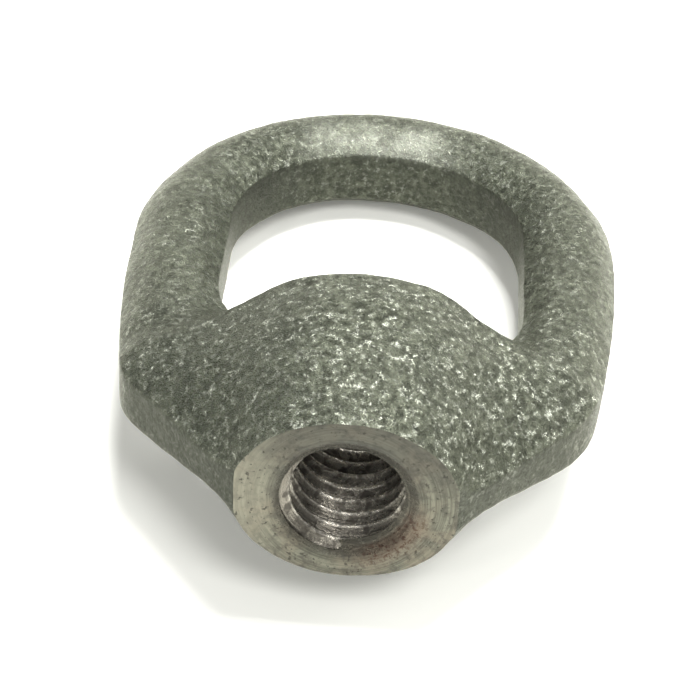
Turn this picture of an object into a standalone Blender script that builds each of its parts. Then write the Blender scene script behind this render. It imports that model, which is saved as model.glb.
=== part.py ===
"""Forged oval eye nut, 5/8-11 UNC: one drop forging with a machined end face and a tapped through bore.

The thread axis runs along Y with the machined face toward -Y. The flat of the eye lies in the XY plane,
which is also the parting plane of the forging dies. The origin is the middle of the bounding box.
"""

import math

import bpy
import numpy as np

MM = 0.001

# Plan of the forging, measured from the machined face (y = 0) toward the crown of the eye.
HALF_WIDTH = 31.75  # half of the greatest width
WIDEST_AT = 49.8  # y of the greatest width
CROWN_RISE = 32.3  # from the greatest width to the outside of the crown
FACE_HALF_WIDTH = 13.0  # half width of the machined face, where the trimmed sides cut it off
SHOULDER_X, SHOULDER_Y = 28.7, 16.5  # corner between the slanting front and the side, before rounding
SHOULDER_RADIUS = 10.0

# The eye opening: a squarish half oval toward the boss, short straight sides, a half ellipse toward the crown.
EYE_HALF_WIDTH = 19.6
EYE_NEAR_CENTRE, EYE_NEAR_DEPTH, EYE_NEAR_POWER = 42.0, 14.8, 3.6
EYE_FAR_CENTRE, EYE_FAR_DEPTH, EYE_FAR_POWER = 53.0, 18.0, 2.0

# Section of the ring.
RING_THICKNESS = 12.6
INNER_LAND = 6.9  # height of the upright band round the opening
OUTER_LAND = 4.6  # height of the trimmed band round the outside
DOME_POWER = 2.2

# The boss round the thread.
FACE_HALF_HEIGHT = 11.25  # half height of the boss at the machined face
BOSS_HALF_HEIGHT = 15.7  # half height of the boss at its highest
BOSS_HIGHEST_AT = 20.0
FACE_FLATNESS, BOSS_FLATNESS = 1.19, 1.25  # width over height of the boss section at each of those places
NOSE_LENGTH = 3.6  # run over which the boss rolls down to the opening
FACE_BLEND, BOSS_BLEND = 2.0, 5.0  # size of the fillet between boss and ring at the face and beyond it
FLANK_SLOPE, FACE_SLOPE = 0.62, 3.0  # fall of the flanks beside the boss, and how much steeper at the face
CREST_AT, CREST_SWEEP = 25.5, 0.22  # where the flanks end at the middle, and how much nearer to each side
BACK_SLOPE = 1.1  # how steeply they drop beyond that

# 5/8-11 UNC thread, right hand.
MAJOR_RADIUS = 15.875 / 2
PITCH = 25.4 / 11
THREAD_DEPTH = 0.5413 * PITCH
COUNTERSINK_RADIUS = 9.2
COUNTERSINK_ANGLE = 118.0

# Mesh resolution.
FACE_STEPS, SLANT_STEPS, SHOULDER_STEPS, SIDE_STEPS, CROWN_STEPS = 9, 8, 5, 9, 20
SECTION_STEPS = 15
THREAD_SEGMENTS = 40

LENGTH = WIDEST_AT + CROWN_RISE
MIDDLE = LENGTH / 2


def clear_scene():
    for obj in list(bpy.data.objects):
        bpy.data.objects.remove(obj, do_unlink=True)


def galvanized_steel():
    material = bpy.data.materials.new("galvanized_steel")
    material.use_nodes = True
    shader = material.node_tree.nodes["Principled BSDF"]
    shader.inputs["Base Color"].default_value = (0.20, 0.21, 0.19, 1.0)
    shader.inputs["Metallic"].default_value = 0.7
    shader.inputs["Roughness"].default_value = 0.55
    return material


def mesh_object(name, points, faces):
    """A mesh object from points in millimetres, moved so that the middle of the part is the origin."""
    mesh = bpy.data.meshes.new(name)
    placed = (np.asarray(points, float) - (0.0, MIDDLE, 0.0)) * MM
    mesh.from_pydata([tuple(p) for p in placed], [], [tuple(int(i) for i in f) for f in faces])
    mesh.validate()
    obj = bpy.data.objects.new(name, mesh)
    bpy.context.scene.collection.objects.link(obj)
    return obj


def spread(start, end, steps):
    """Numbers from start up to, but not including, end."""
    return np.linspace(start, end, steps, endpoint=False)


def side_x(y):
    """Outside of the ring between shoulder and greatest width: a parabola that is upright at its widest."""
    fall = (HALF_WIDTH - SHOULDER_X) / (WIDEST_AT - SHOULDER_Y) ** 2
    return HALF_WIDTH - fall * (WIDEST_AT - y) ** 2


def shoulder_points():
    """Start, corner and end of the rounded shoulder."""
    corner = np.array([SHOULDER_X, SHOULDER_Y])
    back = np.array([FACE_HALF_WIDTH, 0.0]) - corner
    back /= np.linalg.norm(back)
    lean = 2 * (HALF_WIDTH - SHOULDER_X) / (WIDEST_AT - SHOULDER_Y)
    along = np.array([lean, 1.0]) / math.hypot(lean, 1.0)
    setback = SHOULDER_RADIUS / math.tan(math.acos(float(back @ along)) / 2)
    end_y = SHOULDER_Y + setback * along[1]
    return corner + back * setback, corner, np.array([side_x(end_y), end_y])


def outer_outline():
    """Right half of the outside, from the middle of the machined face round to the crown."""
    start, corner, end = shoulder_points()
    points = [(x, 0.0) for x in spread(0.0, FACE_HALF_WIDTH, FACE_STEPS)]
    face_corner = np.array([FACE_HALF_WIDTH, 0.0])
    points += [tuple(face_corner + (start - face_corner) * s) for s in spread(0, 1, SLANT_STEPS)]
    for s in spread(0, 1, SHOULDER_STEPS):
        points.append(tuple((1 - s) ** 2 * start + 2 * s * (1 - s) * corner + s * s * end))
    points += [(side_x(y), y) for y in spread(end[1], WIDEST_AT, SIDE_STEPS)]
    for turn in np.linspace(0, math.pi / 2, CROWN_STEPS):
        points.append((HALF_WIDTH * math.cos(turn), WIDEST_AT + CROWN_RISE * math.sin(turn)))
    return np.array(points)


def quarter_oval(centre, half_width, depth, power):
    """A quarter of a superellipse from the middle line out to the widest point; a negative depth goes toward -Y."""
    turn = np.linspace(0, math.pi / 2, 400)
    x = half_width * np.clip(np.sin(turn), 0, 1) ** (2 / power)
    y = centre + depth * np.clip(np.cos(turn), 0, 1) ** (2 / power)
    return np.stack([x, y], axis=1)


def eye_outline():
    """Right half of the opening, finely sampled, from the boss round to the crown."""
    near = quarter_oval(EYE_NEAR_CENTRE, EYE_HALF_WIDTH, -EYE_NEAR_DEPTH, EYE_NEAR_POWER)
    far = quarter_oval(EYE_FAR_CENTRE, EYE_HALF_WIDTH, EYE_FAR_DEPTH, EYE_FAR_POWER)
    return np.concatenate([near, far[::-1]])


def bearing(points):
    """Angle about the middle of the opening, from the boss (0) to the crown (pi)."""
    middle = (EYE_NEAR_CENTRE + EYE_FAR_CENTRE) / 2
    return np.arctan2(points[:, 0], middle - points[:, 1])


def facing_points():
    """Pairs of points, inside and outside, that face each other across the ring."""
    outer, eye = outer_outline(), eye_outline()
    turn = bearing(outer)
    turn[0], turn[-1] = 0.0, math.pi
    known = bearing(eye)
    known[0], known[-1] = 0.0, math.pi
    inner = np.stack([np.interp(turn, known, eye[:, 0]), np.interp(turn, known, eye[:, 1])], axis=1)
    inner[0, 0] = inner[-1, 0] = outer[0, 0] = outer[-1, 0] = 0.0
    return inner, outer


def smooth_max(a, b, blend):
    """The larger of two heights, with a fillet where they cross."""
    share = np.clip(0.5 + 0.5 * (a - b) / blend, 0, 1)
    return b + (a - b) * share + blend * share * (1 - share)


def half_height(x, y, across, inside):
    """Height of the forging above the parting plane.

    across is 0 at the opening and 1 at the outside; inside is the distance from the opening.
    """
    land = INNER_LAND / 2 + (OUTER_LAND - INNER_LAND) / 2 * across
    ring = land + (RING_THICKNESS / 2 - land) * (1 - np.abs(2 * across - 1) ** DOME_POWER)
    rise = np.clip(y / BOSS_HIGHEST_AT, 0, 1)
    height = FACE_HALF_HEIGHT + (BOSS_HALF_HEIGHT - FACE_HALF_HEIGHT) * (1 - (1 - rise) ** 2)
    flatness = FACE_FLATNESS + (BOSS_FLATNESS - FACE_FLATNESS) * rise
    aside = np.abs(x) / flatness
    nose = np.clip(inside / NOSE_LENGTH, 0, 1)
    steepness = FLANK_SLOPE + FACE_SLOPE * np.exp(-np.clip(y, 0, None) / 4)
    turn = steepness * flatness / np.sqrt(1 + (steepness * flatness) ** 2)
    oval = np.sqrt(np.clip(height**2 - aside**2, 0, None))
    flank = height * np.sqrt(1 - turn**2) - steepness * flatness * (aside - height * turn)
    boss = np.where(aside < height * turn, oval, flank) * np.sqrt(1 - (1 - nose) ** 2)
    behind = np.clip(y - (CREST_AT - CREST_SWEEP * np.abs(x)), 0, None)
    boss = boss - BACK_SLOPE * behind**2 / (behind + 2)
    boss = np.where(y < EYE_NEAR_CENTRE, boss, -RING_THICKNESS)
    return smooth_max(ring, boss, FACE_BLEND + (BOSS_BLEND - FACE_BLEND) * rise)


def forging():
    """The forging as one closed loop of cross sections round the opening."""
    inner, outer = facing_points()
    half_turn = (1 - np.cos(np.linspace(0, math.pi, SECTION_STEPS))) / 2
    across = 0.35 * np.linspace(0, 1, SECTION_STEPS) + 0.65 * half_turn
    plan = inner[:, None, :] + (outer - inner)[:, None, :] * across[None, :, None]
    width = np.linalg.norm(outer - inner, axis=1)[:, None]
    x, y = plan[..., 0], plan[..., 1]
    z = half_height(x, y, across[None, :] + 0 * x, width * across[None, :])
    top = np.stack([x, y, z], axis=-1)
    bottom = np.stack([x, y, -z], axis=-1)[:, ::-1]
    right = np.concatenate([top, bottom], axis=1)
    left = (right * (-1, 1, 1))[1:-1][::-1]
    rings = np.concatenate([right, left], axis=0)
    count, size = rings.shape[:2]
    faces = []
    for i in range(count):
        for j in range(size):
            k, m = (i + 1) % count, (j + 1) % size
            faces.append((i * size + j, i * size + m, k * size + m, k * size + j))
    obj = mesh_object("eye_nut", rings.reshape(-1, 3), faces)
    if signed_volume(obj) < 0:
        obj.data.flip_normals()
    return obj


def signed_volume(obj):
    obj.data.calc_loop_triangles()
    points = np.array([v.co[:] for v in obj.data.vertices])
    corners = points[np.array([t.vertices[:] for t in obj.data.loop_triangles])]
    return float(np.linalg.det(corners).sum() / 6)


def revolved(name, profile, segments):
    """A solid turned about the thread axis from (radius, y) points that start and end on the axis."""
    points = [(0.0, profile[0][1], 0.0), (0.0, profile[-1][1], 0.0)]
    rim = profile[1:-1]
    for radius, y in rim:
        for turn in spread(0, 2 * math.pi, segments):
            points.append((radius * math.cos(turn), y, radius * math.sin(turn)))
    faces = []
    last = 2 + (len(rim) - 1) * segments
    for i in range(segments):
        k = (i + 1) % segments
        faces.append((0, 2 + i, 2 + k))
        faces.append((1, last + k, last + i))
        for j in range(len(rim) - 1):
            a, b = 2 + j * segments, 2 + (j + 1) * segments
            faces.append((a + i, b + i, b + k, a + k))
    obj = mesh_object(name, points, faces)
    if signed_volume(obj) < 0:
        obj.data.flip_normals()
    return obj


def thread_profile():
    """(share of the pitch, radius) of the internal thread: a flat crest, two flanks and a flat root."""
    minor = MAJOR_RADIUS - THREAD_DEPTH
    return [(0.0, minor), (0.25, minor), (0.5625, MAJOR_RADIUS), (0.6875, MAJOR_RADIUS)]


def thread_cutter(start, end):
    """A right-hand threaded rod from start to end along the thread axis."""
    profile = thread_profile()
    size = len(profile)
    rows = size * math.ceil((end - start) / PITCH)
    points = []
    for i in range(THREAD_SEGMENTS):
        turn = 2 * math.pi * i / THREAD_SEGMENTS
        for j in range(rows + size + 1):
            share, radius = profile[j % size]
            y = start + PITCH * (j // size + share + i / THREAD_SEGMENTS)
            points.append((radius * math.cos(turn), y, -radius * math.sin(turn)))
    column = rows + size + 1
    faces = []
    for i in range(THREAD_SEGMENTS):
        for j in range(rows):
            a = i * column + j
            b = (i + 1) * column + j if i + 1 < THREAD_SEGMENTS else j + size
            faces.append((a, a + 1, b + 1, b))
    near, far = len(points), len(points) + 1
    points += [(0.0, start, 0.0), (0.0, start + PITCH * (rows / size + 1), 0.0)]
    near_rim = [i * column for i in range(THREAD_SEGMENTS)] + [size - j for j in range(size)]
    far_rim = [rows + i * column for i in range(THREAD_SEGMENTS)] + [rows + size - j for j in range(size)]
    for rim, middle in ((near_rim, near), (far_rim[::-1], far)):
        for a, b in zip(rim, rim[1:] + rim[:1]):
            faces.append((a, b, middle))
    obj = mesh_object("thread_cutter", points, faces)
    drop_loose_points(obj)
    if signed_volume(obj) < 0:
        obj.data.flip_normals()
    return obj


def drop_loose_points(obj):
    used = sorted({i for polygon in obj.data.polygons for i in polygon.vertices})
    place = {old: new for new, old in enumerate(used)}
    points = [obj.data.vertices[i].co[:] for i in used]
    faces = [tuple(place[i] for i in polygon.vertices) for polygon in obj.data.polygons]
    obj.data.clear_geometry()
    obj.data.from_pydata(points, [], faces)


def countersink_cutter():
    reach = 3.0
    slope = math.tan(math.radians(COUNTERSINK_ANGLE / 2))
    tip = COUNTERSINK_RADIUS / slope
    profile = [(0.0, -reach), (COUNTERSINK_RADIUS + reach * slope, -reach), (0.3, tip - 0.3 / slope), (0.0, tip)]
    return revolved("countersink_cutter", profile, 64)


def cut(obj, cutter):
    """Takes the cutter out of the object for good, and removes the cutter."""
    modifier = obj.modifiers.new(cutter.name, "BOOLEAN")
    modifier.operation = "DIFFERENCE"
    modifier.solver = "EXACT"
    modifier.object = cutter
    bpy.context.view_layer.update()
    graph = bpy.context.evaluated_depsgraph_get()
    mesh = bpy.data.meshes.new_from_object(obj.evaluated_get(graph), depsgraph=graph)
    obj.modifiers.remove(modifier)
    obj.data = mesh
    bpy.data.objects.remove(cutter, do_unlink=True)


def build():
    clear_scene()
    nut = forging()
    cut(nut, thread_cutter(-6.0, EYE_NEAR_CENTRE - EYE_NEAR_DEPTH + 4.0))
    cut(nut, countersink_cutter())
    nut.data.name = "eye_nut"
    nut.data.materials.clear()
    nut.data.materials.append(galvanized_steel())
    for polygon in nut.data.polygons:
        polygon.use_smooth = True
    nut.data.set_sharp_from_angle(angle=math.radians(38))


build()
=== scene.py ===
import math

import bpy
import numpy as np
from mathutils import Matrix, Vector

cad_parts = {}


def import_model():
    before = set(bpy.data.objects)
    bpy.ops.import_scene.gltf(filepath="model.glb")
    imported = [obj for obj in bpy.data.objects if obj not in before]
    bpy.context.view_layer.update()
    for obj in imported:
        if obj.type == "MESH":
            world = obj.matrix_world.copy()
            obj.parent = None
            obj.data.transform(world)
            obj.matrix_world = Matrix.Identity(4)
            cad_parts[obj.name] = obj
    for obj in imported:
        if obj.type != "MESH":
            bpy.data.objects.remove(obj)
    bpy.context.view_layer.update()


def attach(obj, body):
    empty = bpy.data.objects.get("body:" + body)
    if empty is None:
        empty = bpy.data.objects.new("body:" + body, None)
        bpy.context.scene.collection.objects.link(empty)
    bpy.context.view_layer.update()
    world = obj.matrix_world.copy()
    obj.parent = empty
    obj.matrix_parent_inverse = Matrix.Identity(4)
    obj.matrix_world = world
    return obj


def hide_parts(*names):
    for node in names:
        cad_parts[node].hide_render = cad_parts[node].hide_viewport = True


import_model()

MM = 0.001
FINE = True

# Plan of the forging in millimetres, from the machined face (y = 0) toward the crown of the eye.
HALF_WIDTH, WIDEST_AT, CROWN_RISE = 31.75, 49.8, 32.3
FACE_HALF_WIDTH = 13.0
SHOULDER_X, SHOULDER_Y = 28.7, 16.5
SHOULDER_RADIUS = {1: 17.0, -1: 9.0}  # right, left: the trimming left them unequal
EYE_SHIFT = 0.45  # the opening sits a little to the right of the middle
EYE_HALF_WIDTH = 19.6
EYE_NEAR_CENTRE, EYE_NEAR_DEPTH = 42.0, 14.8
EYE_NEAR_POWER = {1: 5.5, -1: 3.6}
EYE_FAR_CENTRE, EYE_FAR_DEPTH, EYE_FAR_POWER = 53.0, 18.0, 2.0
RING_THICKNESS, INNER_LAND, OUTER_LAND, DOME_POWER = 12.6, 6.9, 4.6, 2.2
FACE_HALF_HEIGHT, BOSS_HALF_HEIGHT, BOSS_HIGHEST_AT = 11.25, 15.7, 20.0
FACE_FLATNESS, BOSS_FLATNESS = 1.19, 1.25
NOSE_LENGTH, FACE_BLEND, BOSS_BLEND = 3.6, 2.0, 5.0
FLANK_SLOPE, FACE_SLOPE = 0.62, 3.0
CREST_AT, CREST_SWEEP, BACK_SLOPE = 25.5, 0.22, 1.1
ARM_SPREAD = 0.5  # the right arm stands out this much further
BAND_LOSS = 1.5  # how much thinner the trimmed band is above the parting plane at the front right

# 5/8-11 UNC thread, right hand, and its worn countersink.
MAJOR_RADIUS, PITCH = 15.875 / 2, 25.4 / 11
MINOR_RADIUS = MAJOR_RADIUS - 0.5413 * PITCH
SINK_RADIUS = 8.7
SINK_PROFILE = ((SINK_RADIUS + 5.0, -3.0), (SINK_RADIUS + 0.5, -0.10), (SINK_RADIUS - 0.2, 0.14),
                (7.9, 0.55), (7.2, 0.95), (6.2, 1.6), (0.4, 5.4))  # (radius, y), edges worn round
SPARE = 1.5  # the forging is made this much too long, then faced off

# Unevenness of the zinc skin: height, size of its features, seed and layers of each kind.
LUMPS = ((0.20, 9.0, 11, 2), (0.10, 2.6, 21, 2), (0.055, 0.9, 31, 2))
WALL_SMOOTHNESS = 0.45  # how much of it the trimmed walls lack
MIDDLE = (WIDEST_AT + CROWN_RISE) / 2

STATIONS = 380 if FINE else 170  # round each half
ACROSS = 116 if FINE else 60  # over the top of a section
LAND_ROWS, BAND_ROWS = 22, 16


# ---------------------------------------------------------------- noise

def hashed(i, j, k, seed):
    """A repeatable number from 0 to 1 for each lattice point."""
    n = (i * 73856093) ^ (j * 19349663) ^ (k * 83492791) ^ (seed * 2654435761)
    n = (n ^ (n >> 13)) * 1274126177 & 0x7FFFFFFF
    n = (n ^ (n >> 16)) * 668265263 & 0x7FFFFFFF
    return (n ^ (n >> 15)).astype(float) / 0x7FFFFFFF


def noise(points, size, seed):
    """Smooth noise from -1 to 1 with features about as big as size."""
    q = points / size
    base = np.floor(q).astype(np.int64)
    f = q - base
    f = f * f * (3 - 2 * f)
    total = 0
    for a in (0, 1):
        for b in (0, 1):
            for c in (0, 1):
                weight = np.abs(1 - a - f[..., 0]) * np.abs(1 - b - f[..., 1]) * np.abs(1 - c - f[..., 2])
                total = total + weight * hashed(base[..., 0] + a, base[..., 1] + b, base[..., 2] + c, seed)
    return total * 2 - 1


def layered(points, size, seed, layers):
    """Noise over noise, each layer turned, weaker and half the size of the one before."""
    turn = np.array(Matrix.Rotation(0.7, 3, Vector((0.4, 0.7, 0.6))))
    total, strength, weight = 0, 1.0, 0.0
    for n in range(layers):
        points = points @ turn.T + 3.7
        total = total + strength * noise(points, size / 2**n, seed + n)
        weight += strength
        strength *= 0.55
    return total / weight


# ---------------------------------------------------------------- the forging

def side_x(y):
    """Outside of the ring between shoulder and greatest width: a parabola that is upright at its widest."""
    fall = (HALF_WIDTH - SHOULDER_X) / (WIDEST_AT - SHOULDER_Y) ** 2
    return HALF_WIDTH - fall * (WIDEST_AT - y) ** 2


def outer_outline(side):
    """Half of the outside from the middle of the spare end to the crown, as evenly spaced points."""
    corner = np.array([SHOULDER_X, SHOULDER_Y])
    face_corner = np.array([FACE_HALF_WIDTH, 0.0])
    back = (face_corner - corner) / np.linalg.norm(face_corner - corner)
    lean = 2 * (HALF_WIDTH - SHOULDER_X) / (WIDEST_AT - SHOULDER_Y)
    along = np.array([lean, 1.0]) / math.hypot(lean, 1.0)
    setback = SHOULDER_RADIUS[side] / math.tan(math.acos(float(back @ along)) / 2)
    start = corner + back * setback
    end_y = SHOULDER_Y + setback * along[1]
    end = np.array([side_x(end_y), end_y])
    spare_corner = face_corner + back * (SPARE / -back[1])
    points = [np.array([x, -SPARE]) for x in np.linspace(0, spare_corner[0], 40, endpoint=False)]
    points += [spare_corner + (start - spare_corner) * s for s in np.linspace(0, 1, 60, endpoint=False)]
    for s in np.linspace(0, 1, 60, endpoint=False):
        points.append((1 - s) ** 2 * start + 2 * s * (1 - s) * corner + s * s * end)
    points += [np.array([side_x(y), y]) for y in np.linspace(end_y, WIDEST_AT, 60, endpoint=False)]
    for turn in np.linspace(0, math.pi / 2, 200):
        points.append(np.array([HALF_WIDTH * math.cos(turn), WIDEST_AT + CROWN_RISE * math.sin(turn)]))
    points = np.array(points)
    if side > 0:
        points[:, 0] += ARM_SPREAD * np.clip((points[:, 1] - 14) / 20, 0, 1) * points[:, 0] / HALF_WIDTH
    return evenly(points, STATIONS)


def evenly(points, count):
    """Points at equal steps along a line of points."""
    gone = np.concatenate([[0], np.cumsum(np.linalg.norm(np.diff(points, axis=0), axis=1))])
    at = np.linspace(0, gone[-1], count)
    return np.stack([np.interp(at, gone, points[:, n]) for n in (0, 1)], axis=1)


def quarter_oval(centre, half_width, depth, power):
    """A quarter of a superellipse from the middle line out to the widest point."""
    turn = np.linspace(0, math.pi / 2, 600)
    x = half_width * np.clip(np.sin(turn), 0, 1) ** (2 / power)
    y = centre + depth * np.clip(np.cos(turn), 0, 1) ** (2 / power)
    return np.stack([x, y], axis=1)


def inner_outline(outer, side):
    """The point of the opening that faces each outer point."""
    half = EYE_HALF_WIDTH + side * EYE_SHIFT
    near = quarter_oval(EYE_NEAR_CENTRE, half, -EYE_NEAR_DEPTH, EYE_NEAR_POWER[side])
    far = quarter_oval(EYE_FAR_CENTRE, half, EYE_FAR_DEPTH, EYE_FAR_POWER)
    eye = np.concatenate([near, far[::-1]])
    middle = (EYE_NEAR_CENTRE + EYE_FAR_CENTRE) / 2
    turn = np.arctan2(outer[:, 0], middle - outer[:, 1])
    known = np.arctan2(eye[:, 0], middle - eye[:, 1])
    turn[0], turn[-1], known[0], known[-1] = 0, math.pi, 0, math.pi
    inner = np.stack([np.interp(turn, known, eye[:, n]) for n in (0, 1)], axis=1)
    inner[0, 0] = inner[-1, 0] = 0
    return inner


def smooth_max(a, b, blend):
    """The larger of two heights, with a fillet where they cross."""
    share = np.clip(0.5 + 0.5 * (a - b) / blend, 0, 1)
    return b + (a - b) * share + blend * share * (1 - share)


def half_height(x, y, across, inside, outer_land):
    """Height of the forging above the parting plane.

    across is 0 at the opening and 1 at the outside; inside is the distance from the opening.
    """
    land = INNER_LAND / 2 + (outer_land - INNER_LAND / 2) * across
    ring = land + (RING_THICKNESS / 2 - land) * (1 - np.abs(2 * across - 1) ** DOME_POWER)
    rise = np.clip(y / BOSS_HIGHEST_AT, 0, 1)
    height = FACE_HALF_HEIGHT + (BOSS_HALF_HEIGHT - FACE_HALF_HEIGHT) * (1 - (1 - rise) ** 2)
    flatness = FACE_FLATNESS + (BOSS_FLATNESS - FACE_FLATNESS) * rise
    aside = np.abs(x) / flatness
    nose = np.clip(inside / NOSE_LENGTH, 0, 1)
    steepness = FLANK_SLOPE + FACE_SLOPE * np.exp(-np.clip(y, 0, None) / 4)
    turn = steepness * flatness / np.sqrt(1 + (steepness * flatness) ** 2)
    oval = np.sqrt(np.clip(height**2 - aside**2, 0, None))
    flank = height * np.sqrt(1 - turn**2) - steepness * flatness * (aside - height * turn)
    boss = np.where(aside < height * turn, oval, flank) * np.sqrt(1 - (1 - nose) ** 2)
    behind = np.clip(y - (CREST_AT - CREST_SWEEP * np.abs(x)), 0, None)
    boss = boss - BACK_SLOPE * behind**2 / (behind + 2)
    boss = np.where(y < EYE_NEAR_CENTRE, boss, -RING_THICKNESS)
    return smooth_max(ring, boss, FACE_BLEND + (BOSS_BLEND - FACE_BLEND) * rise)


def half_rings(side):
    """Closed cross sections of one half, from the boss round to the crown."""
    outer = outer_outline(side)
    inner = inner_outline(outer, side)
    share = np.linspace(0, 1, ACROSS)
    across = 0.55 * share + 0.45 * (1 - np.cos(math.pi * share)) / 2
    plan = inner[:, None] + (outer - inner)[:, None] * across[None, :, None]
    width = np.linalg.norm(outer - inner, axis=1)[:, None]
    x, y = plan[..., 0], plan[..., 1]
    front = np.clip((30 - outer[:, 1]) / 18, 0, 1) * (1 if side > 0 else 0)
    above = (OUTER_LAND / 2 - BAND_LOSS * front)[:, None]
    below = np.full_like(above, OUTER_LAND / 2)
    top = half_height(x, y, across[None] + 0 * x, width * across[None], above)
    low = -half_height(x, y, across[None] + 0 * x, width * across[None], below)
    upper = np.stack([x, y, top], -1)
    lower = np.stack([x, y, low], -1)[:, ::-1]
    band = between(upper[:, -1], lower[:, 0], BAND_ROWS)
    land = between(lower[:, -1], upper[:, 0], LAND_ROWS)
    rings = np.concatenate([upper, band, lower, land], axis=1)
    return rings * (side, 1, 1)


def between(a, b, rows):
    """Rows of points that fill the straight wall from a to b, without its ends."""
    share = np.linspace(0, 1, rows + 2)[1:-1]
    return a[:, None] + (b - a)[:, None] * share[None, :, None]


def grid_normals(grid):
    """The direction square to the surface at each point of a grid that closes both ways."""
    u = np.roll(grid, -1, 0) - np.roll(grid, 1, 0)
    v = np.roll(grid, -1, 1) - np.roll(grid, 1, 1)
    n = np.cross(v, u)
    return n / np.maximum(np.linalg.norm(n, axis=-1, keepdims=True), 1e-9)


def forged_grid():
    """The forging's surface as a grid: one closed section a row, round the eye."""
    right, left = half_rings(1), half_rings(-1)
    grid = np.concatenate([right, left[1:-1][::-1]], axis=0)
    for _ in range(4 if FINE else 1):  # the zinc rounds every forged edge
        grid = 0.5 * grid + 0.25 * (np.roll(grid, 1, 1) + np.roll(grid, -1, 1))
    out = grid_normals(grid)
    centre = grid.mean(axis=1, keepdims=True)
    if ((grid - centre) * out).sum() < 0:
        out = -out
    lumps = sum(height * layered(grid, size, seed, layers) for height, size, seed, layers in LUMPS)
    upright = np.clip(1 - np.abs(out[..., 2]) * 2.5, 0, 1)
    lumps = lumps * (1 - WALL_SMOOTHNESS * upright)
    return grid + out * lumps[..., None]


def mesh_object(name, points, faces):
    """A mesh object from points in millimetres, moved so that the middle of the part is the origin."""
    mesh = bpy.data.meshes.new(name)
    placed = ((np.asarray(points, float) - (0.0, MIDDLE, 0.0)) * MM).astype(np.float32)
    faces = np.asarray(faces, np.int32)
    mesh.vertices.add(len(placed))
    mesh.vertices.foreach_set("co", placed.ravel())
    size = faces.shape[1]
    mesh.loops.add(faces.size)
    mesh.loops.foreach_set("vertex_index", faces.ravel())
    mesh.polygons.add(len(faces))
    mesh.polygons.foreach_set("loop_start", np.arange(0, faces.size, size, dtype=np.int32))
    mesh.update(calc_edges=True)
    mesh.validate()
    obj = bpy.data.objects.new(name, mesh)
    bpy.context.scene.collection.objects.link(obj)
    return obj


def grid_faces(rows, columns):
    """Four-sided faces of a grid that closes both ways."""
    i, j = np.meshgrid(np.arange(rows), np.arange(columns), indexing="ij")
    k, m = (i + 1) % rows, (j + 1) % columns
    return np.stack([i * columns + j, i * columns + m, k * columns + m, k * columns + j], -1).reshape(-1, 4)


def outward(obj):
    """Turns the faces of a closed mesh outward."""
    mesh = obj.data
    mesh.calc_loop_triangles()
    co = np.empty(len(mesh.vertices) * 3, np.float32)
    mesh.vertices.foreach_get("co", co)
    tri = np.empty(len(mesh.loop_triangles) * 3, np.int32)
    mesh.loop_triangles.foreach_get("vertices", tri)
    if np.linalg.det(co.reshape(-1, 3)[tri.reshape(-1, 3)].astype(float)).sum() < 0:
        mesh.flip_normals()
    return obj


# ---------------------------------------------------------------- cutters

def turned_cutter(name, profile, segments):
    """A solid turned about the thread axis from (radius, y) points."""
    turn = np.linspace(0, 2 * math.pi, segments, endpoint=False)
    rings = np.array([[(r * math.cos(t), y, r * math.sin(t)) for t in turn] for r, y in profile])
    points = rings.reshape(-1, 3).tolist()
    start, end = len(points), len(points) + 1
    points += [(0, profile[0][1], 0), (0, profile[-1][1], 0)]
    faces = []
    last = (len(profile) - 1) * segments
    for i in range(segments):
        k = (i + 1) % segments
        faces += [(start, i, k), (end, last + k, last + i)]
        for j in range(len(profile) - 1):
            a, b = j * segments, (j + 1) * segments
            faces += [(a + i, b + i, b + k), (a + i, b + k, a + k)]
    return outward(mesh_object(name, points, faces))


def thread_cutter(start, end, segments):
    """A right-hand threaded rod with rounded crests and roots."""
    steps = 16
    share = np.arange(steps) / steps
    wave = np.clip((0.5 - np.abs(share - 0.5) * 2) * 1.30 + 0.5, 0, 1)
    wave = wave * wave * (3 - 2 * wave) * 0.6 + wave * 0.4
    radius = MINOR_RADIUS + (MAJOR_RADIUS - MINOR_RADIUS) * wave
    turns = math.ceil((end - start) / PITCH)
    rows = steps * turns
    column = rows + steps + 1
    i = np.arange(segments)[:, None]
    j = np.arange(column)[None]
    turn = 2 * math.pi * i / segments
    y = start + PITCH * (j / steps + i / segments)
    r = radius[j % steps] + 0 * i
    points = np.stack([r * np.cos(turn), y + 0 * turn, -r * np.sin(turn)], -1)
    worn = layered(points, 1.4, 71, 2) * 0.008 + layered(points, 4.0, 75, 1) * 0.02
    points = points * np.stack([1 + worn / r, 1 + 0 * worn, 1 + worn / r], -1)
    points = points.reshape(-1, 3).tolist()
    faces = []
    for i in range(segments):
        for j in range(rows):
            a = i * column + j
            b = (i + 1) * column + j if i + 1 < segments else j + steps
            faces += [(a, a + 1, b + 1), (a, b + 1, b)]
    near, far = len(points), len(points) + 1
    points += [(0, start, 0), (0, start + PITCH * (turns + 1), 0)]
    near_rim = [i * column for i in range(segments)] + [steps - j for j in range(steps)]
    far_rim = [rows + i * column for i in range(segments)] + [rows + steps - j for j in range(steps)]
    for rim, middle in ((near_rim, near), (far_rim[::-1], far)):
        faces += [(a, b, middle) for a, b in zip(rim, rim[1:] + rim[:1])]
    faces = np.array(faces)
    used, faces = np.unique(faces, return_inverse=True)
    points = np.array(points)[used]
    return outward(mesh_object("thread_cutter", points, faces.reshape(-1, 3)))


def facing_cutter():
    """Takes off the spare end, a hair deeper toward the middle, as a turning tool leaves it."""
    profile = [(30.0, -6.0), (30.0, 0.0), (12.0, 0.0), (SINK_RADIUS + 0.5, 0.03), (0.5, 0.05)]
    return turned_cutter("facing_cutter", profile, 160)


def sink_cutter():
    """The worn countersink at the mouth of the bore."""
    return turned_cutter("sink_cutter", SINK_PROFILE, 160)


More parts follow.
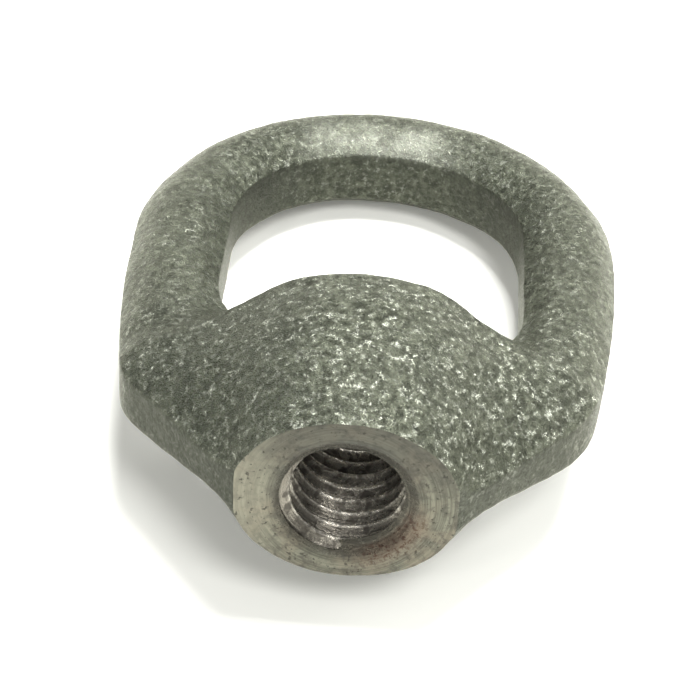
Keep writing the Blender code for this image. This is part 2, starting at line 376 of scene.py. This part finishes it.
def cut(obj, cutters):
    """Takes the cutters out of the object for good, and removes them."""
    for cutter in cutters:
        modifier = obj.modifiers.new(cutter.name, "BOOLEAN")
        modifier.operation = "DIFFERENCE"
        modifier.solver = "MANIFOLD"
        modifier.object = cutter
    bpy.context.view_layer.update()
    graph = bpy.context.evaluated_depsgraph_get()
    mesh = bpy.data.meshes.new_from_object(obj.evaluated_get(graph), depsgraph=graph)
    obj.modifiers.clear()
    obj.data = mesh
    for cutter in cutters:
        bpy.data.objects.remove(cutter, do_unlink=True)


# ---------------------------------------------------------------- materials

class Nodes:
    """Shorthand for building a node tree, with places in millimetres from the middle of the part."""

    def __init__(self, name):
        self.material = bpy.data.materials.new(name)
        self.material.use_nodes = True
        self.tree = self.material.node_tree
        self.shader = self.tree.nodes["Principled BSDF"]
        coords = self.tree.nodes.new("ShaderNodeTexCoord")
        mapping = self.tree.nodes.new("ShaderNodeMapping")
        mapping.inputs["Scale"].default_value = (1000, 1000, 1000)
        self.link(coords.outputs["Object"], mapping.inputs["Vector"])
        self.place = mapping.outputs["Vector"]

    def link(self, a, b):
        self.tree.links.new(a, b)

    def put(self, socket, value):
        if hasattr(value, "is_linked"):
            self.link(value, socket)
        else:
            socket.default_value = value

    def noise(self, scale, detail=4.0, rough=0.55, warp=0.0, place=None):
        node = self.tree.nodes.new("ShaderNodeTexNoise")
        node.inputs["Scale"].default_value = scale
        node.inputs["Detail"].default_value = detail
        node.inputs["Roughness"].default_value = rough
        node.inputs["Distortion"].default_value = warp
        self.link(place or self.place, node.inputs["Vector"])
        return node.outputs["Fac"]

    def math(self, kind, a, b=0.0):
        node = self.tree.nodes.new("ShaderNodeMath")
        node.operation = kind
        self.put(node.inputs[0], a)
        self.put(node.inputs[1], b)
        return node.outputs[0]

    def ramp(self, value, low, high, to_low=0.0, to_high=1.0):
        node = self.tree.nodes.new("ShaderNodeMapRange")
        node.interpolation_type = "SMOOTHSTEP"
        for name, number in (("From Min", low), ("From Max", high), ("To Min", to_low), ("To Max", to_high)):
            self.put(node.inputs[name], number)
        self.link(value, node.inputs["Value"])
        return node.outputs["Result"]

    def mix(self, share, a, b):
        node = self.tree.nodes.new("ShaderNodeMix")
        node.data_type = "RGBA"
        self.put(node.inputs[0], share)
        self.put(node.inputs[6], a)
        self.put(node.inputs[7], b)
        return node.outputs[2]

    def bump(self, height, distance, strength=1.0, normal=None):
        node = self.tree.nodes.new("ShaderNodeBump")
        self.put(node.inputs["Strength"], strength)
        node.inputs["Distance"].default_value = distance
        self.link(height, node.inputs["Height"])
        if normal is not None:
            self.link(normal, node.inputs["Normal"])
        return node.outputs["Normal"]

    def side(self, name):
        """How far the true surface faces along an axis of the piece."""
        coords = self.tree.nodes.new("ShaderNodeTexCoord")
        node = self.tree.nodes.new("ShaderNodeSeparateXYZ")
        self.link(coords.outputs["Normal"], node.inputs[0])
        return node.outputs[name]

    def axis(self, name):
        node = self.tree.nodes.new("ShaderNodeSeparateXYZ")
        self.link(self.place, node.inputs[0])
        return node.outputs[name]


def galvanized():
    """Hot-dip zinc over a forged skin: mottled, pitted, with bright crystals whose pale colour is partly
    painted glints; also a painted highlight in the crown and painted shade on upright faces and the left
    flank.
    """
    m = Nodes("galvanized_zinc")
    patches = m.noise(0.17, 3.0, 0.6)
    mottle = m.noise(0.95, 7.0, 0.72)
    grain = m.noise(2.3, 4.0, 0.7, 0.1)
    blotches = m.noise(1.2, 7.0, 0.78)
    gathered = m.ramp(m.noise(0.32, 3.0, 0.6), 0.38, 0.58, 0.35, 1.0)
    front = m.ramp(m.axis("Y"), -6.0, -20.0, 0.45, 1.0)  # painted glints: the pale fleck colour is stronger on the boss, where the highlight falls
    glint = m.math("MULTIPLY", m.ramp(blotches, 0.53, 0.61), m.math("MULTIPLY", front, gathered))
    pits = m.ramp(m.noise(1.2, 7.0, 0.74), 0.47, 0.38)
    body = m.mix(m.ramp(mottle, 0.38, 0.62), (0.035, 0.038, 0.027, 1), (0.112, 0.121, 0.088, 1))
    body = m.mix(m.ramp(patches, 0.38, 0.64, 0.0, 0.35), body, (0.052, 0.056, 0.042, 1))
    body = m.mix(m.math("MULTIPLY", pits, 0.65), body, (0.024, 0.027, 0.019, 1))
    # Painted glints: the clustered flecks are lightened toward a pale zinc colour, on top of the real bright
    # crystals.
    body = m.mix(m.math("MULTIPLY", glint, 0.80), body, (0.50, 0.52, 0.44, 1))
    # Painted highlight: the inside of the crown is lightened and made smoother where the highlight falls.
    crown_highlight = m.math("MULTIPLY", m.ramp(m.axis("Y"), 22.5, 27.5), m.ramp(m.axis("Z"), 2.5, 4.5))
    crown_highlight = m.math("MULTIPLY", crown_highlight, m.ramp(m.math("ABSOLUTE", m.axis("X")), 14.0, 4.0))
    crown_highlight = m.math("MULTIPLY", crown_highlight, m.ramp(patches, 0.30, 0.55, 0.4, 1.0))
    crown_highlight = m.math("MULTIPLY", crown_highlight, m.ramp(m.axis("Y"), 36.5, 31.5))
    body = m.mix(m.math("MULTIPLY", crown_highlight, 0.48), body, (0.30, 0.31, 0.26, 1))
    # Painted shade: upright faces, the trimmed walls and the wall of the eye, are darkened, less so at the
    # crown; they are also smoother than the forged skin.
    upright = m.ramp(m.math("ABSOLUTE", m.side("Z")), 0.42, 0.14)
    wall_shade = m.math("MULTIPLY", upright, m.ramp(m.axis("Y"), 22.0, 30.0, 0.72, 0.25))
    body = m.mix(wall_shade, body, (0.043, 0.045, 0.037, 1))
    # Painted shade: the left flank of the boss, turned from the light, is darkened.
    left = m.math("MULTIPLY", m.ramp(m.axis("X"), -2.0, -11.0), m.ramp(m.axis("Y"), -8.0, -18.0))
    body = m.mix(m.math("MULTIPLY", left, 0.38), body, (0.030, 0.033, 0.026, 1))
    m.link(body, m.shader.inputs["Base Color"])
    rough = m.ramp(grain, 0.35, 0.65, 0.40, 0.22)
    rough = m.math("SUBTRACT", rough, m.math("MULTIPLY", glint, 0.10))
    m.link(m.math("ADD", rough, m.math("MULTIPLY", upright, 0.12)), m.shader.inputs["Roughness"])
    m.shader.inputs["Metallic"].default_value = 0.80
    m.shader.inputs["Specular Tint"].default_value = (0.80, 0.80, 0.73, 1)
    keep = m.ramp(m.math("MAXIMUM", upright, crown_highlight), 0.0, 1.0, 1.0, 0.75)
    coarse = m.bump(mottle, 0.30 * MM, keep)
    fine = m.bump(grain, 0.20 * MM, keep, coarse)
    m.link(m.bump(m.noise(5.5, 3.0, 0.6), 0.07 * MM, keep, fine), m.shader.inputs["Normal"])
    return m.material


def ring_distance(m):
    """X, Z and the distance from the thread axis."""
    x, z = m.axis("X"), m.axis("Z")
    return x, z, m.math("SQRT", m.math("ADD", m.math("MULTIPLY", x, x), m.math("MULTIPLY", z, z)))


def machined():
    """The bare turned end face and its countersink."""
    m = Nodes("machined_face")
    x, z, radius = ring_distance(m)
    lathe = m.tree.nodes.new("ShaderNodeCombineXYZ")
    m.link(m.math("MULTIPLY", radius, 3.2), lathe.inputs[0])
    m.link(m.math("MULTIPLY", m.axis("Y"), 3.2), lathe.inputs[1])
    m.link(m.math("MULTIPLY", m.noise(0.25, 2.0), 1.2), lathe.inputs[2])
    marks = m.noise(1.0, 5.0, 0.72, 0.0, lathe.outputs[0])
    smear = m.noise(0.22, 4.0, 0.6, 0.6)
    grime = m.noise(0.8, 6.0, 0.7, 0.3)
    specks = m.ramp(m.noise(1.7, 3.0, 0.6), 0.61, 0.66)
    body = m.mix(m.ramp(marks, 0.34, 0.66), (0.054, 0.054, 0.040, 1), (0.155, 0.153, 0.115, 1))
    body = m.mix(m.ramp(smear, 0.40, 0.62, 0.0, 0.55), body, (0.150, 0.130, 0.094, 1))
    body = m.mix(m.ramp(grime, 0.46, 0.64, 0.0, 0.75), body, (0.062, 0.058, 0.046, 1))
    body = m.mix(m.ramp(z, 0.0, 9.0, 0.0, 0.6), body, (0.042, 0.042, 0.035, 1))
    # Painted highlight: the left of the face is lightened.
    body = m.mix(m.ramp(x, -6.5, -12.0, 0.0, 0.45), body, (0.230, 0.220, 0.168, 1))
    body = m.mix(m.math("MULTIPLY", specks, 0.85), body, (0.030, 0.028, 0.022, 1))
    mouth = m.ramp(radius, 8.9, 8.2)
    body = m.mix(m.math("MULTIPLY", mouth, 0.6), body, (0.060, 0.056, 0.045, 1))
    # A stained patch and rust by the lower right of the countersink.
    lower_right = m.math("MULTIPLY", m.ramp(x, 0.0, 4.5), m.ramp(z, 0.5, -3.5))
    near_mouth = m.math("MULTIPLY", m.ramp(radius, 7.0, 7.8), m.ramp(radius, 11.2, 8.8))
    stain = m.math("MULTIPLY", lower_right, near_mouth)
    body = m.mix(m.math("MULTIPLY", stain, 0.45), body, (0.110, 0.072, 0.048, 1))
    rust = m.math("MULTIPLY", stain, m.ramp(m.noise(1.9, 5.0, 0.7), 0.50, 0.58))
    body = m.mix(m.math("MULTIPLY", rust, 0.9), body, (0.045, 0.023, 0.014, 1))
    m.link(body, m.shader.inputs["Base Color"])
    m.shader.inputs["Metallic"].default_value = 0.70
    rough = m.ramp(grime, 0.35, 0.65, 0.28, 0.50)
    m.link(m.math("SUBTRACT", rough, m.math("MULTIPLY", mouth, 0.12)), m.shader.inputs["Roughness"])
    turned = m.bump(marks, 0.25 * MM, mouth, m.bump(marks, 0.08 * MM, 0.8))
    m.link(m.bump(grime, 0.06 * MM, 0.7, turned), m.shader.inputs["Normal"])
    return m.material


def oily_thread():
    """The bare thread under dark oil, with its crests rubbed bright."""
    m = Nodes("oily_thread")
    _, _, radius = ring_distance(m)
    blotches = m.noise(0.7, 5.0, 0.65, 0.4)
    # Fine scoring runs round the thread.
    score = m.tree.nodes.new("ShaderNodeCombineXYZ")
    m.link(m.math("MULTIPLY", radius, 3.6), score.inputs[0])
    m.link(m.math("MULTIPLY", m.axis("Y"), 3.6), score.inputs[1])
    lines = m.noise(1.0, 4.0, 0.7, 0.0, score.outputs[0])
    crest = m.ramp(radius, 7.00, 6.74)
    body = m.mix(crest, (0.200, 0.185, 0.155, 1), (0.56, 0.53, 0.46, 1))
    body = m.mix(m.ramp(lines, 0.45, 0.66, 0.0, 0.35), body, (0.16, 0.15, 0.125, 1))
    body = m.mix(m.ramp(blotches, 0.46, 0.62, 0.0, 0.7), body, (0.034, 0.030, 0.025, 1))
    m.link(body, m.shader.inputs["Base Color"])
    m.shader.inputs["Metallic"].default_value = 0.9
    m.link(m.ramp(blotches, 0.35, 0.65, 0.16, 0.34), m.shader.inputs["Roughness"])
    m.link(m.bump(lines, 0.16 * MM, 0.9), m.shader.inputs["Normal"])
    return m.material


def assign_materials(obj):
    """Skin, machined face with its countersink, and thread, by where each face lies."""
    mesh = obj.data
    count = len(mesh.polygons)
    centre = np.empty(count * 3, np.float32)
    normal = np.empty(count * 3, np.float32)
    mesh.polygons.foreach_get("center", centre)
    mesh.polygons.foreach_get("normal", normal)
    centre, normal = centre.reshape(-1, 3) / MM + (0, MIDDLE, 0), normal.reshape(-1, 3)
    radius = np.hypot(centre[:, 0], centre[:, 2])
    kind = np.zeros(count, np.int32)
    kind[(centre[:, 1] < 0.06) & (normal[:, 1] < -0.9)] = 1
    thread = (radius < MAJOR_RADIUS + 0.08) & (centre[:, 1] > 0.1) & (centre[:, 1] < EYE_NEAR_CENTRE)
    # At the far end the wall of the eye shows between the grooves, and it keeps its zinc.
    inward = -(normal[:, 0] * centre[:, 0] + normal[:, 2] * centre[:, 2]) / radius
    thread &= (centre[:, 1] < 20.0) | (inward > 0.25)
    kind[(radius < SINK_RADIUS + 0.6) & (centre[:, 1] < 1.7)] = 1
    sink = np.interp(centre[:, 1], [r[1] for r in SINK_PROFILE], [r[0] for r in SINK_PROFILE])
    kind[thread & ~((np.abs(radius - sink) < 0.1) & (centre[:, 1] < 1.7))] = 2
    mesh.polygons.foreach_set("material_index", kind)
    mesh.polygons.foreach_set("use_smooth", np.ones(count, bool))
    mesh.set_sharp_from_angle(angle=math.radians(50))


def eye_nut():
    grid = forged_grid()
    rows, columns = grid.shape[:2]
    skin = outward(mesh_object("eye_nut_visual", grid.reshape(-1, 3), grid_faces(rows, columns)))
    reach = EYE_NEAR_CENTRE - EYE_NEAR_DEPTH + 4.0
    cut(skin, [facing_cutter(), thread_cutter(-6.0, reach, 150 if FINE else 72), sink_cutter()])
    skin.data.materials.clear()
    for material in (galvanized(), machined(), oily_thread()):
        skin.data.materials.append(material)
    assign_materials(skin)
    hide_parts("eye_nut")
    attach(skin, "root")
    return skin


# ---------------------------------------------------------------- stage

def resting_plane(obj):
    """(y, z, slope) of the surface that the boss and the crown rest on."""
    co = np.empty(len(obj.data.vertices) * 3, np.float32)
    obj.data.vertices.foreach_get("co", co)
    y, z = co.reshape(-1, 3)[:, 1], co.reshape(-1, 3)[:, 2]
    near, far = y < 0, y > 0
    slope = 0.15
    for _ in range(6):
        a = np.argmin(np.where(near, z - slope * y, 1e9))
        b = np.argmin(np.where(far, z - slope * y, 1e9))
        slope = (z[b] - z[a]) / (y[b] - y[a])
    return float(y[a]), float(z[a]), float(slope)


def floor(obj):
    y, z, slope = resting_plane(obj)
    bpy.ops.mesh.primitive_circle_add(vertices=96, radius=0.42, fill_type="NGON", location=(0, y, z))
    ground = bpy.context.object
    ground.name = "floor"
    ground.rotation_euler = (math.atan(slope), 0, 0)
    material = bpy.data.materials.new("white_paper")
    material.use_nodes = True
    shader = material.node_tree.nodes["Principled BSDF"]
    shader.inputs["Base Color"].default_value = (0.90, 0.90, 0.855, 1)
    shader.inputs["Roughness"].default_value = 0.7
    shader.inputs["Emission Color"].default_value = (1.0, 1.0, 0.93, 1)
    shader.inputs["Emission Strength"].default_value = 0.16
    ground.data.materials.append(material)


def area_light(name, place, size, energy, colour=(1, 1, 1)):
    data = bpy.data.lights.new(name, "AREA")
    data.shape = "DISK"
    data.size = size
    data.energy = energy
    data.color = colour
    lamp = bpy.data.objects.new(name, data)
    lamp.location = place
    lamp.rotation_euler = Vector(place).to_track_quat("Z", "Y").to_euler()
    bpy.context.scene.collection.objects.link(lamp)


def world(strength):
    sky = bpy.data.worlds.new("studio")
    sky.use_nodes = True
    sky.node_tree.nodes["Background"].inputs["Color"].default_value = (1.0, 1.0, 0.985, 1)
    sky.node_tree.nodes["Background"].inputs["Strength"].default_value = strength
    bpy.context.scene.world = sky


def camera():
    """Looks at the machined face from about 36 degrees above the flat of the eye, almost straight on."""
    down, aside, roll = math.radians(36.38), math.radians(-1.35), math.radians(4.10)
    forward = Vector((math.sin(aside) * math.cos(down), math.cos(aside) * math.cos(down), -math.sin(down)))
    right = forward.cross(Vector((0, 0, 1))).normalized()
    up = right.cross(forward)
    turned = math.cos(roll) * right + math.sin(roll) * up
    up = -math.sin(roll) * right + math.cos(roll) * up
    data = bpy.data.cameras.new("camera")
    data.sensor_width = 36.0
    data.lens = 110.4
    data.shift_x, data.shift_y = -0.0066, -0.0010
    data.clip_start = 0.01
    obj = bpy.data.objects.new("camera", data)
    spin = Matrix((turned, up, -forward)).transposed()
    obj.matrix_world = Matrix.Translation(Vector((0.0042, -0.2295, 0.1608))) @ spin.to_4x4()
    bpy.context.scene.collection.objects.link(obj)
    bpy.context.scene.camera = obj


nut = eye_nut()
floor(nut)
area_light("overhead", (0.08, 0.06, 0.68), 0.27, 9.3)
area_light("back", (0.05, 0.36, 0.60), 0.24, 3.3)
area_light("right", (0.50, 0.10, 0.44), 0.28, 1.2)
area_light("front_right", (0.20, -0.40, 0.54), 0.24, 2.4)
area_light("front_left", (-0.28, -0.50, 0.40), 0.07, 0.4)
world(0.42)
camera()
bpy.context.scene.view_settings.view_transform = "Standard"
